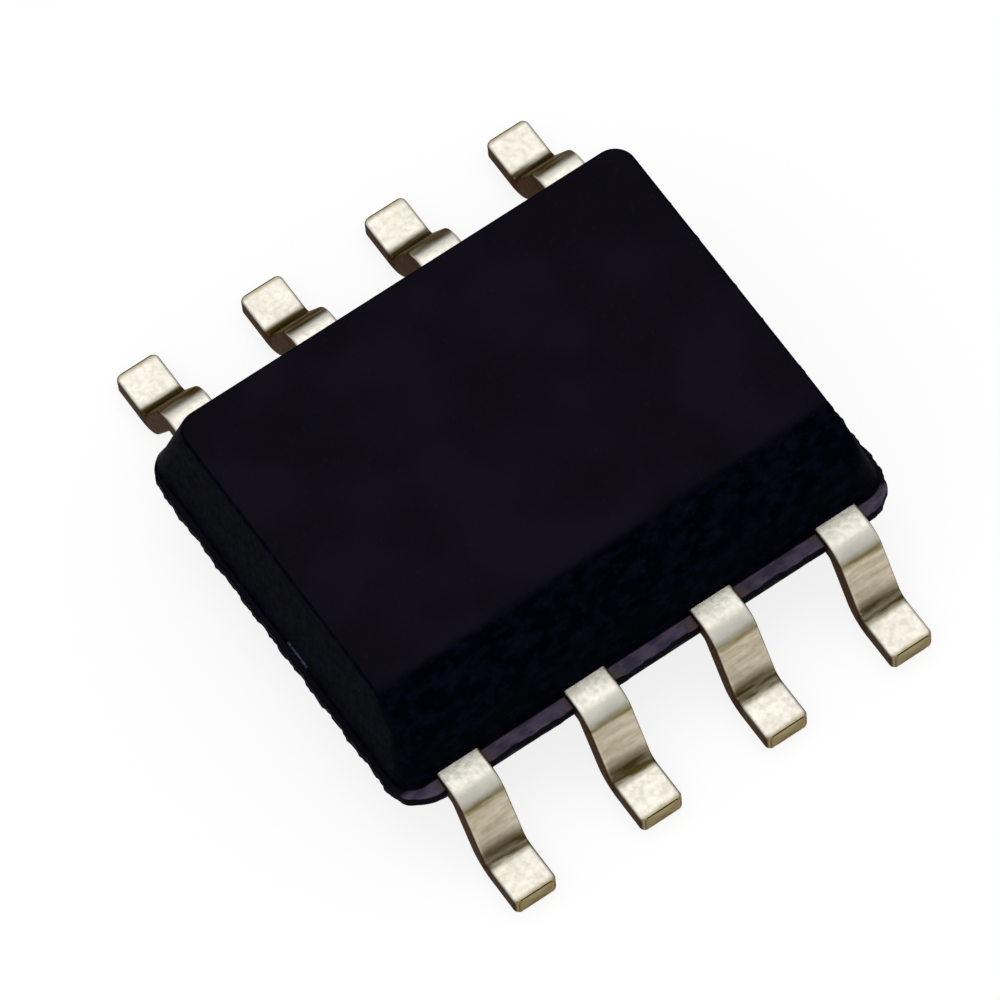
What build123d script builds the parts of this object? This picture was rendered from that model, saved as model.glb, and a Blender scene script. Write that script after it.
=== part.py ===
"""Eight-lead small-outline amplifier package: leadframe, die, wire bonds and moulded body.

X runs along the body, +Y points away from the bevelled pin-1 side and +Z is up.  The origin is the centre
of the package on the seating plane, where the undersides of the eight feet lie.  Sizes are millimetres.
"""

from build123d import *

import os
from math import tan, radians, hypot

# Leads: a flat strip formed into a gull wing
LEADS_PER_SIDE = 4
PITCH = 1.27
LEAD_WIDTH = 0.42
LEAD_THICKNESS = 0.21
LEAD_EDGE_RADIUS = 0.03     # die roll and plating along the four long edges
SHOULDER_LENGTH = 0.245     # body wall to the shank's corner, along the strip's middle plane
FOOT_LENGTH = 0.505         # heel corner to toe, along the strip's middle plane
SHANK_ANGLE = 63.0          # from the seating plane
SHOULDER_TOP = 0.86         # seating plane to the top of the flat shoulder
SHOULDER_BEND_RADIUS = 0.145
HEEL_BEND_RADIUS = 0.225    # both bend radii are to the strip's middle plane

# Leadframe inside the body
MIDDLE_FINGER_LENGTH = 0.67     # body wall to the tip of the two inner leads
CORNER_FINGER_LENGTH = 1.12     # body wall to the tip of the two outer leads
FINGER_TIP_WIDTH = 0.36
ANCHOR_SETBACK = 0.20           # body wall to the widened anchor
ANCHOR_DEPTH = 0.20
ANCHOR_WIDTH = 0.62
FINGER_CORNER_RADIUS = 0.04
FINGER_END_WALL = 0.433         # outer edge of a corner finger to the end of the body
FINGER_GAP = 0.20               # between the paddle and every finger
PADDLE_DOWNSET = 0.10
PADDLE_CORNER_RADIUS = 0.10
TIE_BAR_WIDTH = 0.29
TIE_BAR_OFFSET = -0.33
TIE_BAR_STEP_RUN = 0.16         # length over which the tie bar steps down to the paddle

# Moulded body, in two mould halves that meet at the parting plane
PACKAGE_HEIGHT = 1.65
STANDOFF = 0.15
PARTING_HEIGHT = 0.79
BODY_WIDTH = 3.838              # upper half, at the parting plane
BODY_END_MARGIN = 0.328         # outer lead's edge to the end of the upper half
END_DRAFT = 11.5
SIDE_DRAFT = 14.7
LOWER_DRAFT = 23.0             # steep enough that nothing below the land shows from above
BODY_CORNER_RADIUS = 0.20
LOWER_CORNER_RADIUS = 0.36
LEDGE_SIDE = 0.091              # how far the lower half stands out past the upper one
LEDGE_END = 0.066
MOULD_SHIFT = -0.04             # the lower half sits this far along Y from the upper one
LEDGE_LAND = 0.13               # height of its upright band
TOP_EDGE_RADIUS = 0.055
BOTTOM_EDGE_RADIUS = 0.05
BEVEL_WIDTH = 0.383             # pin-1 bevel, measured in from the top face's edge
BEVEL_DROP = 0.37

# Die, its attach layer and the wire bonds
DIE_LENGTH = 1.40
DIE_WIDTH = 1.10
DIE_THICKNESS = 0.25
ATTACH_MARGIN = 0.05
ATTACH_THICKNESS = 0.025
PAD_INSET = 0.10                # die edge to the middle of a bond pad
MIDDLE_PAD_OFFSET = 0.22        # die centre to the pads of the two inner leads
WIRE_DIAMETER = 0.033
BALL_DIAMETER = 0.085
BALL_HEIGHT = 0.025
STITCH_DIAMETER = 0.075
STITCH_SETBACK = 0.12           # finger tip to the middle of the stitch
LOOP_RISE = 0.20                # die top to the kink of the loop
LOOP_KINK_RADIUS = 0.07

# Levels and outlines that follow from them
strip_middle = SHOULDER_TOP - LEAD_THICKNESS / 2
half_wall = BODY_WIDTH / 2
row_length = PITCH * (LEADS_PER_SIDE - 1)
body_length = row_length + LEAD_WIDTH + 2 * BODY_END_MARGIN
rise_above_parting = PACKAGE_HEIGHT - PARTING_HEIGHT
top_length = body_length - 2 * rise_above_parting * tan(radians(END_DRAFT))
top_width = BODY_WIDTH - 2 * rise_above_parting * tan(radians(SIDE_DRAFT))
lower_length = body_length + 2 * LEDGE_END
lower_width = BODY_WIDTH + 2 * LEDGE_SIDE
land_bottom = PARTING_HEIGHT - LEDGE_LAND
lower_inset = (land_bottom - STANDOFF) * tan(radians(LOWER_DRAFT))
lower_half = Plane(origin=(0, MOULD_SHIFT, 0))

shank_run = (strip_middle - LEAD_THICKNESS / 2) / tan(radians(SHANK_ANGLE))
shoulder_corner = half_wall + SHOULDER_LENGTH
heel_corner = shoulder_corner + shank_run
toe = heel_corner + FOOT_LENGTH

middle_tip = half_wall - MIDDLE_FINGER_LENGTH
corner_tip = half_wall - CORNER_FINGER_LENGTH
corner_finger_outside = body_length / 2 - FINGER_END_WALL
corner_finger_inside = corner_finger_outside - FINGER_TIP_WIDTH
paddle_length = 2 * (corner_finger_inside - FINGER_GAP)
paddle_width = 2 * (middle_tip - FINGER_GAP)
paddle_top = SHOULDER_TOP - PADDLE_DOWNSET
tie_bar_end = body_length / 2   # cut off level with the end of the upper half
attach_top = paddle_top + ATTACH_THICKNESS
die_top = attach_top + DIE_THICKNESS

os.makedirs("parts", exist_ok=True)


def finish(builder, name):
    """Label a finished piece and write it to its own file."""
    builder.part.label = name
    export_step(builder.part, f"parts/{name}.step")
    return builder.part


def pin_places():
    """Each pin's lead centre, its side of the body and whether it is an outer lead, in pin order.

    Pins run along the bevelled side from the left, then back along the far side.
    """
    row = [index * PITCH - row_length / 2 for index in range(LEADS_PER_SIDE)]
    for side, along in ((-1, row), (1, row[::-1])):
        for x in along:
            yield x, side, abs(x) > row_length / 2 - PITCH / 2


# ---------------------------------------------------------------------------------------------- leads
leads = []
stitch_places = []
for pin, (x, side, outer) in enumerate(pin_places(), start=1):
    hand = 1 if x > 0 else -1
    if outer:
        tip = corner_tip
        tip_near = hand * corner_finger_inside
        tip_far = hand * corner_finger_outside
    else:
        tip = middle_tip
        tip_near = x - hand * FINGER_TIP_WIDTH / 2
        tip_far = x + hand * FINGER_TIP_WIDTH / 2
    anchor_out = half_wall - ANCHOR_SETBACK
    anchor_in = anchor_out - ANCHOR_DEPTH
    stitch_places.append(((tip_near + tip_far) / 2, side * (tip + STITCH_SETBACK)))

    with BuildPart() as lead:
        # the formed strip, from inside the body wall out to the toe
        with BuildLine(Plane.YZ.offset(x)) as strip:
            FilletPolyline(
                (side * anchor_out, strip_middle),
                (side * shoulder_corner, strip_middle),
                (side * heel_corner, LEAD_THICKNESS / 2),
                (side * toe, LEAD_THICKNESS / 2),
                radius=[SHOULDER_BEND_RADIUS, HEEL_BEND_RADIUS],
            )
        with BuildSketch(Plane(origin=strip.line @ 0, x_dir=(1, 0, 0), z_dir=strip.line % 0)):
            RectangleRounded(LEAD_WIDTH, LEAD_THICKNESS, LEAD_EDGE_RADIUS)
        sweep()
        # the flat anchor and finger that the body holds
        with BuildSketch(Plane.XY.offset(SHOULDER_TOP - LEAD_THICKNESS)):
            with BuildLine():
                Polyline(
                    (x - hand * ANCHOR_WIDTH / 2, side * anchor_out),
                    (x - hand * ANCHOR_WIDTH / 2, side * anchor_in),
                    (tip_near, side * (middle_tip if outer else anchor_in)),
                    (tip_near, side * tip),
                    (tip_far, side * tip),
                    (tip_far, side * anchor_in),
                    (x + hand * ANCHOR_WIDTH / 2, side * anchor_in),
                    (x + hand * ANCHOR_WIDTH / 2, side * anchor_out),
                    close=True,
                )
            make_face()
        extrude(amount=LEAD_THICKNESS)
        tip_edges = lead.edges().filter_by(Axis.Z).filter_by_position(
            Axis.Y, *sorted((side * (tip - FINGER_GAP / 2), side * (tip + FINGER_GAP / 2)))
        )
        fillet(tip_edges, FINGER_CORNER_RADIUS)
    leads.append(finish(lead, f"lead_{pin}"))

# ------------------------------------------------------------------------- paddle with its two tie bars
with BuildPart() as die_paddle:
    with BuildSketch(Plane.XY.offset(paddle_top - LEAD_THICKNESS)):
        RectangleRounded(paddle_length, paddle_width, PADDLE_CORNER_RADIUS)
    extrude(amount=LEAD_THICKNESS)
    for hand in (-1, 1):
        paddle_edge = hand * paddle_length / 2
        frame_plane_start = paddle_edge + hand * TIE_BAR_STEP_RUN
        with BuildSketch(Plane.XZ.offset(-TIE_BAR_OFFSET - TIE_BAR_WIDTH / 2)):
            with BuildLine():
                Polyline(
                    (paddle_edge - hand * PADDLE_CORNER_RADIUS, paddle_top),
                    (paddle_edge, paddle_top),
                    (frame_plane_start, SHOULDER_TOP),
                    (hand * tie_bar_end, SHOULDER_TOP),
                    (hand * tie_bar_end, SHOULDER_TOP - LEAD_THICKNESS),
                    (frame_plane_start, SHOULDER_TOP - LEAD_THICKNESS),
                    (paddle_edge, paddle_top - LEAD_THICKNESS),
                    (paddle_edge - hand * PADDLE_CORNER_RADIUS, paddle_top - LEAD_THICKNESS),
                    close=True,
                )
            make_face()
        extrude(amount=TIE_BAR_WIDTH)
finish(die_paddle, "die_paddle")

# --------------------------------------------------------------------------------- die and attach layer
with BuildPart() as die_attach:
    with BuildSketch(Plane.XY.offset(paddle_top)):
        Rectangle(DIE_LENGTH + 2 * ATTACH_MARGIN, DIE_WIDTH + 2 * ATTACH_MARGIN)
    extrude(amount=ATTACH_THICKNESS)
    chamfer(die_attach.faces().sort_by(Axis.Z)[-1].edges(), ATTACH_THICKNESS / 2)
finish(die_attach, "die_attach")

with BuildPart() as die:
    with BuildSketch(Plane.XY.offset(attach_top)):
        Rectangle(DIE_LENGTH, DIE_WIDTH)
    extrude(amount=DIE_THICKNESS)
finish(die, "die")

# ------------------------------------------------------------------------------------------ wire bonds
bond_wires = []
for pin, (x, side, outer) in enumerate(pin_places(), start=1):
    hand = 1 if x > 0 else -1
    pad_x = hand * (DIE_LENGTH / 2 - PAD_INSET if outer else MIDDLE_PAD_OFFSET)
    pad_y = side * (DIE_WIDTH / 2 - PAD_INSET)
    stitch_x, stitch_y = stitch_places[pin - 1]
    span_x, span_y = stitch_x - pad_x, stitch_y - pad_y
    loop_plane = Plane(origin=(pad_x, pad_y, die_top), x_dir=(span_x, span_y, 0), z_dir=(span_y, -span_x, 0))

    with BuildPart() as bond_wire:
        with BuildLine(loop_plane) as loop:
            FilletPolyline(
                (0, BALL_HEIGHT / 2),
                (0, LOOP_RISE),
                (hypot(span_x, span_y), SHOULDER_TOP + WIRE_DIAMETER / 2 - die_top),
                radius=LOOP_KINK_RADIUS,
            )
        with BuildSketch(Plane(origin=loop.line @ 0, z_dir=loop.line % 0)):
            Circle(WIRE_DIAMETER / 2)
        sweep()
        with BuildSketch(Plane.XY.offset(die_top)):
            with Locations((pad_x, pad_y)):
                Circle(BALL_DIAMETER / 2)
        extrude(amount=BALL_HEIGHT)
        with BuildSketch(Plane.XY.offset(SHOULDER_TOP)):
            with Locations((stitch_x, stitch_y)):
                Circle(STITCH_DIAMETER / 2)
        extrude(amount=WIRE_DIAMETER / 2)
    bond_wires.append(finish(bond_wire, f"bond_wire_{pin}"))

# ---------------------------------------------------------------------------------------- moulded body
with BuildPart() as body:
    # lower half: a taper up to the upright land, which ends at the parting plane
    with BuildSketch(lower_half.offset(STANDOFF)):
        RectangleRounded(
            lower_length - 2 * lower_inset, lower_width - 2 * lower_inset, LOWER_CORNER_RADIUS
        )
    with BuildSketch(lower_half.offset(land_bottom)):
        RectangleRounded(lower_length, lower_width, LOWER_CORNER_RADIUS)
    loft(ruled=True)
    with BuildSketch(lower_half.offset(land_bottom)):
        RectangleRounded(lower_length, lower_width, LOWER_CORNER_RADIUS)
    extrude(amount=LEDGE_LAND)
    # upper half: drafted in from the parting plane to the top face
    with BuildSketch(Plane.XY.offset(PARTING_HEIGHT)):
        RectangleRounded(body_length, BODY_WIDTH, BODY_CORNER_RADIUS)
    with BuildSketch(Plane.XY.offset(PACKAGE_HEIGHT)):
        RectangleRounded(top_length, top_width, BODY_CORNER_RADIUS)
    loft(ruled=True)
    # the bevel along the pin-1 side
    bevel_slope = BEVEL_DROP / (BEVEL_WIDTH + BEVEL_DROP * tan(radians(SIDE_DRAFT)))
    bevel_start = -top_width / 2 + BEVEL_WIDTH
    with BuildSketch(Plane.YZ.offset(-body_length / 2)):
        with BuildLine():
            Polyline(
                (bevel_start, PACKAGE_HEIGHT),
                (-half_wall, PACKAGE_HEIGHT - bevel_slope * (half_wall + bevel_start)),
                (-half_wall, PACKAGE_HEIGHT),
                close=True,
            )
        make_face()
    extrude(amount=body_length, mode=Mode.SUBTRACT)
    top_face = body.faces().filter_by(Axis.Z).sort_by(Axis.Z)[-1]
    fillet(top_face.edges(), TOP_EDGE_RADIUS)
    fillet(body.faces().filter_by(Axis.Z).sort_by(Axis.Z)[0].edges(), BOTTOM_EDGE_RADIUS)
    # the compound fills everything round the embedded pieces
    for embedded in [die_paddle.part, die_attach.part, die.part, *leads, *bond_wires]:
        add(embedded, mode=Mode.SUBTRACT)
finish(body, "body")
print(f"upper half {body_length:.3f} x {BODY_WIDTH:.3f}, lower half {lower_length:.3f} x {lower_width:.3f}")
print(f"toe to toe {2 * toe:.3f}, paddle {paddle_length:.3f} x {paddle_width:.3f}")
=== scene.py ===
"""Looks of an eight-lead small-outline amplifier package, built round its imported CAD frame.

The moulded body and the eight formed leads are smooth numpy surfaces of the CAD's own sizes.  The paddle,
die, attach layer and bond wires inside stay the CAD's, with finishes of their own.  Lengths in the tables
below are millimetres; MM turns them into Blender's metres.
"""
from math import cos, pi, radians, sin, tan

import bpy
import numpy as np
from mathutils import Matrix, Vector


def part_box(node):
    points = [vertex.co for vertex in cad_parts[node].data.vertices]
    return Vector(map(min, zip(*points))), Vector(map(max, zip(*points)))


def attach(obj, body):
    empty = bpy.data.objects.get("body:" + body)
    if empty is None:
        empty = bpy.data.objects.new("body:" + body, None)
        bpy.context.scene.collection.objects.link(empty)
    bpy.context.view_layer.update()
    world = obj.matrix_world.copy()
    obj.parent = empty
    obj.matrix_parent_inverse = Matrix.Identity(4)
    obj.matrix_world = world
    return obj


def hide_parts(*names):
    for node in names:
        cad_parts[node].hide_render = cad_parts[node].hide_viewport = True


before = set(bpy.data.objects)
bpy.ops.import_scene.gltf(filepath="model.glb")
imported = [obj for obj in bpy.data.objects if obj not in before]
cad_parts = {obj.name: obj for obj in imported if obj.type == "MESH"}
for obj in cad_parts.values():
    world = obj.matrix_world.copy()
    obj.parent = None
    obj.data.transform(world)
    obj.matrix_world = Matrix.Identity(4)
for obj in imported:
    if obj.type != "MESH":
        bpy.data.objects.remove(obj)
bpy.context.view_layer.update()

MM = 0.001

# The moulded body: outline half sizes at each level, and the pin-1 bevel
BODY_LOW, BODY_HIGH = (np.array(corner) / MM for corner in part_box("body"))
MOULD_SHIFT = (BODY_LOW[1] + BODY_HIGH[1]) / 2
LOWER_HALF_LENGTH = (BODY_HIGH[0] - BODY_LOW[0]) / 2
LOWER_HALF_WIDTH = (BODY_HIGH[1] - BODY_LOW[1]) / 2
LEDGE_END = 0.066
LEDGE_SIDE = 0.091
LEDGE_CHIP, LEDGE_FADE = 0.03, 0.05
UPPER_HALF_LENGTH = LOWER_HALF_LENGTH - LEDGE_END
UPPER_HALF_WIDTH = LOWER_HALF_WIDTH - LEDGE_SIDE
STANDOFF = BODY_LOW[2]
LAND_BOTTOM = 0.66
PARTING_HEIGHT = 0.79
BODY_TOP = BODY_HIGH[2]
LOWER_DRAFT, END_DRAFT, SIDE_DRAFT = 23.0, 11.5, 14.7
LOWER_CORNER_RADIUS, UPPER_CORNER_RADIUS = 0.36, 0.20
BEVEL_WIDTH, BEVEL_DROP, BEVEL_BLEND = 0.383, 0.37, 0.03

# The leads: the formed strip's middle line and its hidden anchor and finger
LEAD_PITCH, LEAD_WIDTH, LEAD_THICKNESS, LEAD_EDGE_RADIUS = 1.27, 0.42, 0.21, 0.03
FOOT_LENGTH, SHANK_ANGLE = 0.505, 63.0
SHOULDER_BEND_RADIUS, HEEL_BEND_RADIUS = 0.145, 0.225
TOE_CORNER_RADIUS, TOE_NIP = 0.05, 0.012
ANCHOR_OUT, ANCHOR_DEPTH, ANCHOR_WIDTH = 1.719, 0.20, 0.62
FINGER_TIP_WIDTH, CORNER_FINGER_OUTSIDE = 0.36, 2.010

# The view: where the camera stands, seen from the middle of the package
VIEW_AZIMUTH, VIEW_ELEVATION, VIEW_ROLL = 28.67, 64.07, -6.49
VIEW_TARGET = Vector((-0.084, 0.196, 0.064)) * MM
VIEW_DISTANCE = 87.13 * MM
SENSOR_WIDTH, FOCAL_RATIO = 36.0, 10.3493


# ------------------------------------------------------------------------------------------- surfaces
def mesh_piece(name, points, faces, slot, material, nodes):
    """A closed mesh from points in millimetres and faces, facing outwards, standing for CAD nodes."""
    corners = points[np.array([face[:3] for face in faces])]
    if np.einsum("ij,ij->i", corners[:, 0], np.cross(corners[:, 1], corners[:, 2])).sum() < 0:
        faces = [face[::-1] for face in faces]
    mesh = bpy.data.meshes.new(name)
    mesh.from_pydata((points * MM).tolist(), [], faces)
    mesh.polygons.foreach_set("use_smooth", np.ones(len(mesh.polygons), bool))
    mesh.materials.append(material)
    mesh.update()
    piece = bpy.data.objects.new(name, mesh)
    bpy.context.scene.collection.objects.link(piece)
    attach(piece, "root")
    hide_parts(*nodes)
    return piece


def soften(corners, reach, steps=8, straight=4):
    """A polyline with rounded corners: each corner is the quadratic curve (1-t)^2 A + 2t(1-t) P + t^2 B,
    where A and B lie `reach` from the corner P along its two sides, and straight runs are cut evenly."""
    corners = np.asarray(corners, float)
    t = np.linspace(0, 1, steps + 1)[:, None]
    run = np.linspace(0, 1, straight + 1)[1:-1, None]
    path = [corners[:1]]
    for before, corner, after, r in zip(corners, corners[1:], corners[2:], reach):
        spans = [np.linalg.norm((end - corner)[POSITION]) for end in (before, after)]
        a = corner + (before - corner) * min(r / spans[0], 0.5)
        b = corner + (after - corner) * min(r / spans[1], 0.5)
        path.append(path[-1][-1:] * (1 - run) + a * run)
        path.append((1 - t) ** 2 * a + 2 * t * (1 - t) * corner + t**2 * b)
    path.append(path[-1][-1:] * (1 - run) + corners[-1:] * run)
    path.append(corners[-1:])
    return np.concatenate(path)


POSITION = [0, 1, 4]    # the columns of a body level that are lengths along X, Y and Z


def quarter_side(half_length, half_width, radius, arc, straight):
    """One long side of a rounded rectangle, left to right, with half of each corner's arc at its ends:
    x and y are arrays of (levels, points), and y is the side's distance out from the middle."""
    angle = np.linspace(-pi / 4, 0, arc + 1)[None]
    flat = half_length - radius
    x_arc = -flat + radius * np.sin(angle)
    y_arc = half_width - radius + radius * np.cos(angle)
    x_flat = flat * np.linspace(-1, 1, straight + 1)[None, 1:-1]
    y_flat = half_width + 0 * x_flat
    x = np.concatenate([x_arc, x_flat, -x_arc[:, ::-1]], axis=1)
    y = np.concatenate([y_arc, y_flat, y_arc[:, ::-1]], axis=1)
    return x, y


def body_surface(arc=10, columns=110, rows=96):
    """The moulded body: a rounded rectangle carried up a profile of levels, closed below and above by a
    patch of straight rows; above the bevel, z becomes the smooth minimum of z and the bevel's plane."""
    low = (LAND_BOTTOM - STANDOFF) * tan(radians(LOWER_DRAFT))
    rise = BODY_TOP - PARTING_HEIGHT
    end_in, side_in = (rise * tan(radians(draft)) for draft in (END_DRAFT, SIDE_DRAFT))
    x0, y0, x1, y1 = LOWER_HALF_LENGTH, LOWER_HALF_WIDTH, UPPER_HALF_LENGTH, UPPER_HALF_WIDTH
    r0, r1, rim = LOWER_CORNER_RADIUS, UPPER_CORNER_RADIUS, 0.12
    # half length, half width, shift along Y, corner radius, height
    levels = soften(
        [
            (x0 - low - rim, y0 - low - rim, MOULD_SHIFT, r0 - rim, STANDOFF),
            (x0 - low, y0 - low, MOULD_SHIFT, r0, STANDOFF),
            (x0, y0, MOULD_SHIFT, r0, LAND_BOTTOM),
            (x0, y0, MOULD_SHIFT, r0, PARTING_HEIGHT),
            (x1, y1, 0, r1, PARTING_HEIGHT),
            (x1 - end_in, y1 - side_in, 0, r1, BODY_TOP),
            (x1 - end_in - rim, y1 - side_in - rim, 0, r1 - rim / 2, BODY_TOP),
        ],
        reach=[0.05, 0.02, 0.022, 0.012, 0.045],
        straight=8,
    )
    half_x, half_y, shift, radius, z = (levels[:, [k]] for k in range(5))
    side_x, side_y = quarter_side(half_x, half_y, radius, arc, columns)
    end_y, end_x = quarter_side(half_y, half_x, radius, arc, rows)
    near = np.stack([side_x, shift - side_y, z + 0 * side_x], axis=2)
    right = np.stack([end_x, shift + end_y, z + 0 * end_x], axis=2)
    far = np.stack([-side_x, shift + side_y, z + 0 * side_x], axis=2)
    left = np.stack([-end_x, shift - end_y, z + 0 * end_x], axis=2)
    ring = np.concatenate([edge[:, :-1] for edge in (near, right, far, left)], axis=1)
    count, around = ring.shape[:2]
    index = np.arange(count * around).reshape(count, around)
    turn = np.roll(index, -1, axis=1)
    faces = np.stack([index[:-1], turn[:-1], turn[1:], index[1:]], axis=2).reshape(-1, 4).tolist()
    points = [ring.reshape(-1, 3)]
    total = count * around
    nx, ny = near.shape[1] - 1, right.shape[1] - 1
    for level in (0, count - 1):
        # patch: row j joins the left and right ends at the same y, cut in the side's own proportions
        share = (near[level, :, 0] - near[level, 0, 0]) / (near[level, -1, 0] - near[level, 0, 0])
        start, stop = left[level, ::-1][1:-1], right[level][1:-1]
        inner = start[:, None] + (stop - start)[:, None] * share[None, 1:-1, None]
        grid = np.empty((ny + 1, nx + 1), int)
        grid[0, :-1] = index[level, :nx]
        grid[:-1, -1] = index[level, nx:nx + ny]
        grid[-1, :0:-1] = index[level, nx + ny:2 * nx + ny]
        grid[:0:-1, 0] = index[level, 2 * nx + ny:]
        grid[1:-1, 1:-1] = total + np.arange((ny - 1) * (nx - 1)).reshape(ny - 1, nx - 1)
        total += (ny - 1) * (nx - 1)
        points.append(inner.reshape(-1, 3))
        patch = np.stack([grid[:-1, :-1], grid[:-1, 1:], grid[1:, 1:], grid[1:, :-1]], axis=2).reshape(-1, 4)
        faces += (patch[:, ::-1] if level == 0 else patch).tolist()
    points = np.concatenate(points)
    slope = BEVEL_DROP / (BEVEL_WIDTH + BEVEL_DROP * tan(radians(SIDE_DRAFT)))
    plane = BODY_TOP + slope * (points[:, 1] + y1 - side_in - BEVEL_WIDTH)
    upper = points[:, 2] > PARTING_HEIGHT + 0.1
    bevelled = (points[:, 2] + plane - np.sqrt((points[:, 2] - plane) ** 2 + 4 * BEVEL_BLEND**2)) / 2
    # flash and small chips draw the ledge's edge in unevenly, by inward = a (1 + sum of sines) / 2
    place = points[:, 0] + 1.7 * points[:, 1]
    wave = (np.sin(7.3 * place) + np.sin(19.1 * place + 1.3) + 0.7 * np.sin(47 * place + 0.4)) / 2.7
    inward = LEDGE_CHIP * (1 + wave) / 2
    for axis, wall in ((0, x1), (1, y1)):
        share = np.clip((np.abs(points[:, axis]) - wall) / LEDGE_FADE, 0, 1)
        points[:, axis] -= np.sign(points[:, axis]) * share * inward
    points[:, 2] = np.where(upper & (points[:, 1] < 0), np.minimum(bevelled, points[:, 2]), points[:, 2])
    return points, faces


def lead_stations(corner_lead, lead_x, hand, tip):
    """The strip's middle line from finger tip to toe, as distance out, height, direction and the
    strip's two edges: straight runs joined by circular bends of the stated radii."""
    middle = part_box("lead_1")[1][2] / MM - LEAD_THICKNESS / 2
    foot_level = LEAD_THICKNESS / 2
    angle = radians(SHANK_ANGLE)
    toe = abs(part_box("lead_1")[0][1]) / MM
    heel = toe - FOOT_LENGTH
    shoulder = heel - (middle - foot_level) / tan(angle)
    cut_1, cut_2 = SHOULDER_BEND_RADIUS * tan(angle / 2), HEEL_BEND_RADIUS * tan(angle / 2)
    out, height, heading = [], [], []

    def run(start, end, direction, cuts):
        share = np.linspace(0, 1, cuts + 1)[:-1]
        out.extend(start[0] + (end[0] - start[0]) * share)
        height.extend(start[1] + (end[1] - start[1]) * share)
        heading.extend([direction] * cuts)

    def bend(centre, radius, first, last, sense, cuts=18):
        turn = np.linspace(first, last, cuts + 1)[:-1]
        out.extend(centre[0] + sense * radius * np.sin(turn))
        height.extend(centre[1] + sense * radius * np.cos(turn))
        heading.extend(turn)

    step = 0.004
    anchor_in = ANCHOR_OUT - ANCHOR_DEPTH
    for a, b in ((tip, anchor_in), (anchor_in, anchor_in + step), (anchor_in + step, ANCHOR_OUT),
                 (ANCHOR_OUT, ANCHOR_OUT + step)):
        run((a, middle), (b, middle), 0.0, 3)
    start_1 = shoulder - cut_1
    run((ANCHOR_OUT + step, middle), (start_1, middle), 0.0, 10)
    bend((start_1, middle - SHOULDER_BEND_RADIUS), SHOULDER_BEND_RADIUS, 0, angle, 1)
    shank = (cos(angle), -sin(angle))
    run((shoulder + cut_1 * shank[0], middle + cut_1 * shank[1]),
        (heel - cut_2 * shank[0], foot_level - cut_2 * shank[1]), angle, 12)
    bend((heel + cut_2, foot_level + HEEL_BEND_RADIUS), HEEL_BEND_RADIUS, angle, 0, -1)
    places = (heel + cut_2, toe - TOE_CORNER_RADIUS, toe - TOE_CORNER_RADIUS / 3, toe)
    for start, end in zip(places, places[1:]):
        run((start, foot_level), (end, foot_level), 0.0, 5)
    out.append(toe), height.append(foot_level), heading.append(0.0)
    out, height, heading = map(np.array, (out, height, heading))
    # the two long edges, the one nearer the package's middle plane first
    if corner_lead:
        far_edge = hand * CORNER_FINGER_OUTSIDE
        near_edge = far_edge - hand * FINGER_TIP_WIDTH
    else:
        near_edge, far_edge = lead_x - hand * FINGER_TIP_WIDTH / 2, lead_x + hand * FINGER_TIP_WIDTH / 2
    places = [tip, anchor_in, anchor_in + step, ANCHOR_OUT, ANCHOR_OUT + step, toe]
    half = [ANCHOR_WIDTH / 2, ANCHOR_WIDTH / 2, LEAD_WIDTH / 2, LEAD_WIDTH / 2]
    near_side = np.interp(out, places, [near_edge, near_edge] + [lead_x - hand * h for h in half])
    far_side = np.interp(out, places, [far_edge, far_edge] + [lead_x + hand * h for h in half])
    return out, height, heading, near_side, far_side


def rounded_section(radius, arc=5, across=14, through=6):
    """The strip's section as signs and offsets: points on a unit box plus inward offsets of the corner
    radius, so that one table serves every width.  Columns are sign and offset across, then through."""
    table = []
    for sx, sz, first in ((1, 1, 0), (-1, 1, 90), (-1, -1, 180), (1, -1, 270)):
        for angle in np.radians(np.linspace(first, first + 90, arc + 1)):
            table.append((sx, radius * (cos(angle) - sx), sz, radius * (sin(angle) - sz)))
        next_sign = {(1, 1): (-1, 1), (-1, 1): (-1, -1), (-1, -1): (1, -1), (1, -1): (1, 1)}[sx, sz]
        cuts = across if sx != next_sign[0] else through
        last = np.array(table[-1])
        following = np.radians(first + 90)
        goal = np.array((next_sign[0], radius * (cos(following) - next_sign[0]),
                         next_sign[1], radius * (sin(following) - next_sign[1])))
        for share in np.linspace(0, 1, cuts + 1)[1:-1]:
            table.append(tuple(last * (1 - share) + goal * share))
    return np.array(table)


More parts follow.
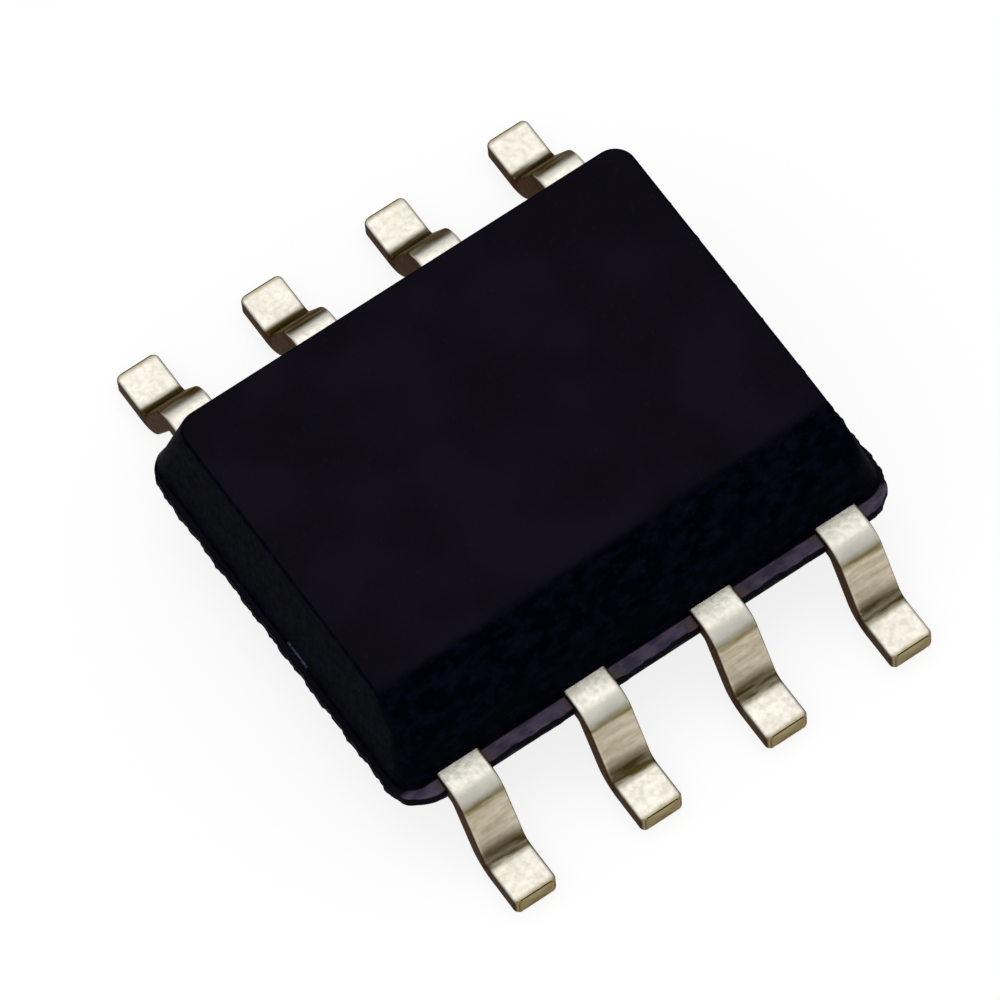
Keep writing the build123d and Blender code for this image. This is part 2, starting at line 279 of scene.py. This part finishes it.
def lead_surface(node):
    """A formed lead: the rounded section carried along the strip's middle line, closed at tip and toe.
    A point is path + across * X + through * normal."""
    low, high = (np.array(corner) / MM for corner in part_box(node))
    lead_x, side = (low[0] + high[0]) / 2, np.sign(low[1] + high[1])
    tip = min(abs(low[1]), abs(high[1]))
    hand = np.sign(lead_x)
    corner_lead = abs(lead_x) > 1.0
    out, height, heading, near_side, far_side = lead_stations(corner_lead, lead_x, hand, tip)
    section = rounded_section(LEAD_EDGE_RADIUS)
    # the toe is nipped in over its last ring, as a sheared end is
    out = np.append(out, out[-1])
    out[-2] -= TOE_NIP
    height, heading = np.append(height, height[-1]), np.append(heading, heading[-1])
    near_side, far_side = np.append(near_side, near_side[-1]), np.append(far_side, far_side[-1])
    shrink = np.zeros(len(out))
    shrink[-1] = TOE_NIP
    shrink[0] = TOE_NIP / 3
    # the toe's two corners are rounded in plan: inset = r - sqrt(r^2 - (r - distance)^2)
    from_toe = np.clip(out[-1] - out, 0, TOE_CORNER_RADIUS)
    inset = TOE_CORNER_RADIUS - np.sqrt(TOE_CORNER_RADIUS**2 - (TOE_CORNER_RADIUS - from_toe) ** 2)
    middle, half = (near_side + far_side) / 2, np.abs(far_side - near_side) / 2 - inset
    across = section[None, :, 0] * (half - shrink)[:, None] + section[None, :, 1]
    through = section[None, :, 2] * (LEAD_THICKNESS / 2 - shrink)[:, None] + section[None, :, 3]
    x = middle[:, None] + across
    reach = out[:, None] + through * np.sin(heading)[:, None]
    z = height[:, None] + through * np.cos(heading)[:, None]
    points = np.stack([x, side * reach, z], axis=2)
    count, around = points.shape[:2]
    index = np.arange(count * around).reshape(count, around)
    turn = np.roll(index, -1, axis=1)
    faces = np.stack([index[:-1], turn[:-1], turn[1:], index[1:]], axis=2).reshape(-1, 4).tolist()
    points = np.concatenate([points.reshape(-1, 3), points[[0, -1]].mean(axis=1)])
    for level, centre, flip in ((0, count * around, 1), (count - 1, count * around + 1, -1)):
        ends = np.stack([index[level], np.full(around, centre), turn[level]], axis=1)
        faces += ends[:, ::flip].tolist()
    return points, faces


# ------------------------------------------------------------------------------------------ finishes
class Nodes:
    """Adds nodes to one shader tree and joins them up."""

    def __init__(self, tree):
        self.tree = tree

    def add(self, kind, inputs=None, **settings):
        node = self.tree.nodes.new(kind)
        for key, value in settings.items():
            setattr(node, key, value)
        for key, value in (inputs or {}).items():
            if isinstance(value, bpy.types.NodeSocket):
                self.tree.links.new(value, node.inputs[key])
            else:
                node.inputs[key].default_value = value
        return node

    def axes(self, output):
        """X, Y and Z of the piece's own place ("Object") or of its surface's direction ("Normal")."""
        coordinates = self.add("ShaderNodeTexCoord").outputs[output]
        return self.add("ShaderNodeSeparateXYZ", {0: coordinates}).outputs

    def math(self, operation, *values, clamp=False):
        node = self.add("ShaderNodeMath", dict(enumerate(values)), operation=operation, use_clamp=clamp)
        return node.outputs[0]

    def mix(self, factor, first, second, blend="MIX"):
        node = self.add("ShaderNodeMix", data_type="RGBA", blend_type=blend)
        for key, value in zip((0, 6, 7), (factor, first, second)):
            if isinstance(value, bpy.types.NodeSocket):
                self.tree.links.new(value, node.inputs[key])
            else:
                node.inputs[key].default_value = value
        return node.outputs[2]

    def ramp(self, value, low, high, first=0.0, second=1.0):
        names = {"Value": value, "From Min": low, "From Max": high, "To Min": first, "To Max": second}
        return self.add("ShaderNodeMapRange", names, interpolation_type="SMOOTHSTEP").outputs[0]

    def group(self, tree, **inputs):
        node = self.add("ShaderNodeGroup", node_tree=tree)
        for key, value in inputs.items():
            socket = node.inputs[key.replace("_", " ").title()]
            if isinstance(value, bpy.types.NodeSocket):
                self.tree.links.new(value, socket)
            else:
                socket.default_value = value
        return node.outputs


def effect(name, inputs, outputs):
    """An empty effect group with float inputs and the named outputs."""
    tree = bpy.data.node_groups.new(name, "ShaderNodeTree")
    for label, value in inputs.items():
        tree.interface.new_socket(label, in_out="INPUT", socket_type="NodeSocketFloat").default_value = value
    for label, kind in outputs.items():
        tree.interface.new_socket(label, in_out="OUTPUT", socket_type=kind)
    nodes = Nodes(tree)
    return tree, nodes, nodes.add("NodeGroupInput").outputs, nodes.add("NodeGroupOutput").inputs


def grain_effect():
    """Fine grain: noise of a stated size in millimetres, with a stated stretch along each axis."""
    tree, nodes, given, result = effect(
        "fine_grain",
        {"Size": 0.1, "Stretch X": 1.0, "Stretch Y": 1.0, "Stretch Z": 1.0, "Detail": 3.0},
        {"Value": "NodeSocketFloat"},
    )
    place = nodes.add("ShaderNodeTexCoord").outputs["Object"]
    stretch = nodes.add("ShaderNodeCombineXYZ", {axis: given[f"Stretch {axis}"] for axis in "XYZ"}).outputs[0]
    spread = nodes.add("ShaderNodeVectorMath", {0: place, 1: stretch}, operation="DIVIDE").outputs[0]
    scale = nodes.math("DIVIDE", 1 / MM, given["Size"])
    noise = nodes.add("ShaderNodeTexNoise", {"Vector": spread, "Scale": scale, "Detail": given["Detail"]})
    tree.links.new(noise.outputs[0], result["Value"])
    return tree


def band_effect():
    """Band masks: one where the height, and one where the distance out, lies between two values in
    millimetres, with soft limits; each is a rising smooth step times a falling one."""
    tree, nodes, given, result = effect(
        "package_band", {"Low": 0.0, "High": 1.0, "Softness": 0.02},
        {"Height": "NodeSocketFloat", "Out": "NodeSocketFloat", "Along": "NodeSocketFloat"},
    )
    place = nodes.axes("Object")
    for label, axis in (("Height", 2), ("Out", 1), ("Along", 0)):
        value = nodes.math("MULTIPLY", nodes.math("ABSOLUTE", place[axis]), 1 / MM)
        masks = []
        for edge in ("Low", "High"):
            before = nodes.math("SUBTRACT", given[edge], given["Softness"])
            after = nodes.math("ADD", given[edge], given["Softness"])
            masks.append(nodes.ramp(value, before, after))
        inside = nodes.math("SUBTRACT", masks[0], masks[1], clamp=True)
        tree.links.new(inside, result[label])
    return tree


def shading(name, **constants):
    """A material with one Principled shader; constants go on its own sockets."""
    material = bpy.data.materials.new(name)
    material.use_nodes = True
    shader = material.node_tree.nodes["Principled BSDF"]
    for label, value in constants.items():
        shader.inputs[label.replace("_", " ")].default_value = value
    return material, Nodes(material.node_tree), shader.inputs


def rgb(red, green, blue):
    """A colour given as it looks on a screen, 0 to 255, as linear values."""
    values = np.array([red, green, blue]) / 255
    linear = np.where(values <= 0.04045, values / 12.92, ((values + 0.055) / 1.055) ** 2.4)
    return (*linear.tolist(), 1.0)


def moulding_compound(grain, band):
    """Black filled epoxy: violet-black on top, with its sides and bevel painted darker and bluer than the top
    as painted shade, and the up-facing ledge between the leads of the bevelled side painted pale and mottled
    as a painted highlight."""
    material, nodes, shader = shading("moulding_compound", **{"Specular IOR Level": 0.01, "IOR": 1.5})
    cloud = nodes.group(grain, size=0.9, detail=2.0)["Value"]
    speck = nodes.group(grain, size=0.045, detail=3.0)["Value"]
    mottle = nodes.group(grain, size=0.09, stretch_x=1.6, detail=4.0)["Value"]
    facing = nodes.axes("Normal")
    place = nodes.axes("Object")
    # painted shade: faces that do not face up, the sides and the bevel, get a darker, bluer colour than the
    # top
    upward = nodes.ramp(facing[2], 0.86, 0.995)
    top = nodes.mix(nodes.ramp(cloud, 0.35, 0.65), rgb(16, 13, 22), rgb(21, 18, 28))
    wall = nodes.mix(nodes.ramp(mottle, 0.4, 0.7), rgb(1, 2, 9), rgb(7, 9, 22))
    base = nodes.mix(upward, wall, top)
    base = nodes.mix(nodes.ramp(speck, 0.55, 0.8, 0, 0.2), base, rgb(34, 31, 44))
    # painted highlight: the up-facing ledge between the leads of the bevelled side is painted pale and
    # mottled, and browner next to each lead
    ledge = nodes.group(band, low=0.74, high=0.805, softness=0.012)["Height"]
    side = nodes.group(band, low=1.88, high=3.0, softness=0.04)["Out"]
    ledge_highlight = nodes.mix(nodes.ramp(mottle, 0.38, 0.62), rgb(62, 56, 76), rgb(88, 77, 96))
    row = nodes.math("COSINE", nodes.math("MULTIPLY", place[0], 2 * pi / (LEAD_PITCH * MM)))
    by_lead = nodes.ramp(nodes.math("ADD", row, nodes.ramp(mottle, 0.3, 0.7, -0.3, 0.3)), -0.1, -0.5, 0, 0.7)
    ledge_highlight = nodes.mix(by_lead, ledge_highlight, rgb(98, 80, 70))
    ledge_highlight_share = nodes.math("MULTIPLY", nodes.math("MULTIPLY", ledge, side), nodes.ramp(facing[2], 0.1, 0.6))
    nodes.tree.links.new(nodes.mix(ledge_highlight_share, base, ledge_highlight), shader["Base Color"])
    rough = nodes.ramp(speck, 0.3, 0.7, 0.6, 0.75)
    nodes.tree.links.new(rough, shader["Roughness"])
    bump = nodes.add("ShaderNodeBump", {"Height": speck, "Distance": 0.003 * MM, "Strength": 0.4})
    nodes.tree.links.new(bump.outputs[0], shader["Normal"])
    return material


def tin_plating(grain, band):
    """Matt tin on the formed leads: warm ivory flats and yellowish toes; painted shade makes the shank darker
    with soft cross streaks, draws olive lines in the creases at the heel and under the shoulder's bend, and
    paints the side faces brown and the faces turned towards +Y olive."""
    material, nodes, shader = shading("tin_plated_lead", **{
        "Metallic": 1.0, "Specular Tint": (0.36, 0.32, 0.29, 1.0)})
    fine = nodes.group(grain, size=0.05, detail=3.0)["Value"]
    cloud = nodes.group(grain, size=0.28, detail=2.0)["Value"]
    streak = nodes.group(grain, size=0.045, stretch_x=6.0, detail=2.0)["Value"]
    facing = nodes.axes("Normal")
    side_face_shade = nodes.ramp(nodes.math("ABSOLUTE", facing[0]), 0.55, 0.9)
    shank = nodes.group(band, low=0.24, high=0.76, softness=0.05)["Height"]
    bend = nodes.group(band, low=0.71, high=0.77, softness=0.03)["Height"]
    heel = nodes.group(band, low=2.49, high=2.63, softness=0.04)["Out"]
    toe = nodes.group(band, low=2.965, high=3.2, softness=0.03)["Out"]
    away = nodes.ramp(facing[1], 0.24, 0.5)
    colour = nodes.mix(nodes.ramp(cloud, 0.35, 0.65), rgb(224, 220, 208), rgb(233, 229, 217))
    colour = nodes.mix(nodes.ramp(fine, 0.5, 0.75, 0, 0.2), colour, rgb(214, 206, 184))
    # painted shade: the shank is painted darker than the flats, with soft cross streaks
    streaked_shank_shade = nodes.mix(nodes.ramp(streak, 0.3, 0.7), rgb(190, 178, 154), rgb(214, 204, 182))
    colour = nodes.mix(shank, colour, streaked_shank_shade)
    # painted shade: an olive line in the crease under the shoulder's bend
    bend = nodes.math("MULTIPLY", bend, nodes.ramp(streak, 0.25, 0.7, 0.95, 0.55))
    colour = nodes.mix(bend, colour, rgb(118, 104, 40))
    # painted shade: an olive line in the crease at the heel
    heel = nodes.math("MULTIPLY", heel, nodes.ramp(streak, 0.3, 0.6, 0.65, 1.0))
    colour = nodes.mix(heel, colour, rgb(84, 72, 34))
    colour = nodes.mix(nodes.math("MULTIPLY", toe, 0.8), colour, rgb(132, 114, 54))
    # painted shade: faces turned towards +Y are painted dark olive
    away = nodes.math("MULTIPLY", away, nodes.ramp(streak, 0.3, 0.7, 0.8, 1.0))
    colour = nodes.mix(away, colour, rgb(74, 62, 32))
    # painted shade: the side faces are painted brown
    colour = nodes.mix(nodes.math("MULTIPLY", side_face_shade, 0.95), colour, rgb(64, 52, 46))
    nodes.tree.links.new(colour, shader["Base Color"])
    nodes.tree.links.new(nodes.ramp(fine, 0.3, 0.7, 0.34, 0.46), shader["Roughness"])
    relief = nodes.math("ADD", fine, nodes.math("MULTIPLY", nodes.math("MULTIPLY", streak, shank), 0.4))
    bump = nodes.add("ShaderNodeBump", {"Height": relief, "Distance": 0.005 * MM, "Strength": 0.5})
    nodes.tree.links.new(bump.outputs[0], shader["Normal"])
    return material


def rolled_metal(name, grain, dark, pale, roughness, streak_x, size=0.05, tarnish=None):
    """Bare metal with rolling or drawing marks: noise stretched along X between two colours.  A tarnish
    mask, where given, dulls the ends that are cut off at the package's wall."""
    material, nodes, shader = shading(name, **{"Metallic": 1.0})
    mark = nodes.group(grain, size=size, stretch_x=streak_x, detail=3.0)["Value"]
    colour = nodes.mix(nodes.ramp(mark, 0.3, 0.7), dark, pale)
    if tarnish:
        ends = nodes.group(tarnish, low=2.41, high=9.0, softness=0.01)["Along"]
        dull = nodes.mix(nodes.ramp(mark, 0.35, 0.6), rgb(14, 14, 30), rgb(74, 72, 98))
        colour = nodes.mix(ends, colour, dull)
    nodes.tree.links.new(colour, shader["Base Color"])
    nodes.tree.links.new(nodes.ramp(mark, 0.3, 0.7, roughness, roughness + 0.12), shader["Roughness"])
    bump = nodes.add("ShaderNodeBump", {"Height": mark, "Distance": 0.002 * MM, "Strength": 0.4})
    nodes.tree.links.new(bump.outputs[0], shader["Normal"])
    return material


def silicon(grain):
    """Polished silicon under passivation: a dark blue-grey with a faint grid of paler metal lines."""
    material, nodes, shader = shading("silicon", **{"Metallic": 0.6, "Coat Weight": 0.5})
    place = nodes.axes("Object")
    lines = []
    for axis in (0, 1):
        wave = nodes.math("SINE", nodes.math("MULTIPLY", place[axis], 2 * pi / (0.11 * MM)))
        lines.append(nodes.ramp(wave, 0.55, 0.8))
    cloud = nodes.group(grain, size=0.25, detail=1.0)["Value"]
    lattice = nodes.math("MULTIPLY", nodes.math("MAXIMUM", *lines), nodes.ramp(cloud, 0.4, 0.6))
    colour = nodes.mix(lattice, rgb(88, 92, 108), rgb(186, 182, 172))
    nodes.tree.links.new(colour, shader["Base Color"])
    nodes.tree.links.new(nodes.ramp(lattice, 0.0, 1.0, 0.12, 0.3), shader["Roughness"])
    return material


def floor_finish():
    """A white floor: plain paint for the light that it throws, lifted most of the way to white where it is
    seen directly, in metal or through glass, so that it still shows the object's shadow."""
    material, nodes, shader = shading("floor_paint", **{"Base Color": (0.8, 0.8, 0.8, 1), "Roughness": 0.9,
                                                        "Specular IOR Level": 0.1})
    tree = nodes.tree
    path = nodes.add("ShaderNodeLightPath").outputs
    seen = nodes.math("MAXIMUM", nodes.math("MAXIMUM", path["Is Camera Ray"], path["Is Glossy Ray"]),
                      path["Is Transmission Ray"])
    glow = nodes.add("ShaderNodeEmission", {"Color": (1, 1, 1, 1), "Strength": 1.15})
    paint = tree.nodes["Principled BSDF"].outputs[0]
    share = nodes.math("MULTIPLY", seen, 0.72)
    lifted = nodes.add("ShaderNodeMixShader", {0: share, 1: paint, 2: glow.outputs[0]})
    tree.links.new(lifted.outputs[0], tree.nodes["Material Output"].inputs[0])
    return material


# --------------------------------------------------------------------------------------------- pieces
grain, band = grain_effect(), band_effect()
compound, plating = moulding_compound(grain, band), tin_plating(grain, band)
mesh_piece("moulded_body", *body_surface(), "moulding_compound", compound, ["body"])
for pin in range(1, 9):
    node = f"lead_{pin}"
    mesh_piece(f"formed_lead_{pin}", *lead_surface(node), "tin_plated_lead", plating, [node])

copper = rolled_metal("copper_alloy", grain, rgb(92, 66, 58), rgb(142, 98, 78), 0.36, 8.0, tarnish=band)
paste = rolled_metal("attach_paste", grain, rgb(150, 148, 142), rgb(196, 194, 188), 0.5, 1.0, 0.03)
gold = rolled_metal("gold_wire", grain, rgb(212, 160, 62), rgb(244, 200, 96), 0.2, 1.0, 0.02)
die_finish = silicon(grain)
inner_finish = {"die_paddle": copper, "die_attach": paste, "die": die_finish}
inner_finish.update({f"bond_wire_{pin}": gold for pin in range(1, 9)})
for node, finish in inner_finish.items():
    cad_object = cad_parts[node]
    for place in cad_object.material_slots:
        place.material = finish

# ---------------------------------------------------------------------------------------------- stage
reach = 500 * MM
floor_mesh = bpy.data.meshes.new("floor")
floor_corners = [(x * reach, y * reach, 0) for x, y in ((-1, -1), (1, -1), (1, 1), (-1, 1))]
floor_mesh.from_pydata(floor_corners, [], [(0, 1, 2, 3)])
floor_mesh.materials.append(floor_finish())
floor = bpy.data.objects.new("floor", floor_mesh)
bpy.context.scene.collection.objects.link(floor)


def lamp(name, azimuth, elevation, distance, size, power):
    """A square soft lamp, placed by direction from the package and aimed at it."""
    light = bpy.data.lights.new(name, "AREA")
    light.shape, light.size, light.energy = "SQUARE", size * MM, power
    holder = bpy.data.objects.new(name, light)
    a, e = radians(azimuth), radians(elevation)
    away = Vector((sin(a) * cos(e), cos(a) * cos(e), sin(e)))
    aim = away.to_track_quat("Z", "Y").to_matrix().to_4x4()
    holder.matrix_world = Matrix.Translation(away * distance * MM) @ aim
    bpy.context.scene.collection.objects.link(holder)


lamp("high_softbox", 20, 72, 260, 220, 0.12)
lamp("side_softbox", -80, 40, 300, 160, 0.03)

world = bpy.data.worlds.new("studio")
world.use_nodes = True
sky = Nodes(world.node_tree)
direction = sky.add("ShaderNodeSeparateXYZ", {0: sky.add("ShaderNodeTexCoord").outputs["Generated"]}).outputs
bright = sky.ramp(direction[2], -0.1, 0.9, 0.30, 0.75)
world.node_tree.links.new(bright, world.node_tree.nodes["Background"].inputs["Strength"])
world.node_tree.nodes["Background"].inputs["Color"].default_value = (1, 1, 1, 1)
bpy.context.scene.world = world
bpy.context.scene.view_settings.view_transform = "Standard"

azimuth, elevation = radians(VIEW_AZIMUTH), radians(VIEW_ELEVATION)
to_camera = Vector((-sin(azimuth) * cos(elevation), -cos(azimuth) * cos(elevation), sin(elevation)))
camera_data = bpy.data.cameras.new("camera")
camera_data.sensor_width = SENSOR_WIDTH
camera_data.lens = SENSOR_WIDTH * FOCAL_RATIO
camera_data.clip_start, camera_data.clip_end = 1 * MM, 2000 * MM
camera = bpy.data.objects.new("camera", camera_data)
right = to_camera.cross(Vector((0, 0, -1))).normalized()
upright = Matrix((right, to_camera.cross(right), to_camera)).transposed().to_4x4()
camera.matrix_world = (Matrix.Translation(VIEW_TARGET + to_camera * VIEW_DISTANCE)
                       @ upright @ Matrix.Rotation(radians(VIEW_ROLL), 4, "Z"))
bpy.context.scene.collection.objects.link(camera)
bpy.context.scene.camera = camera
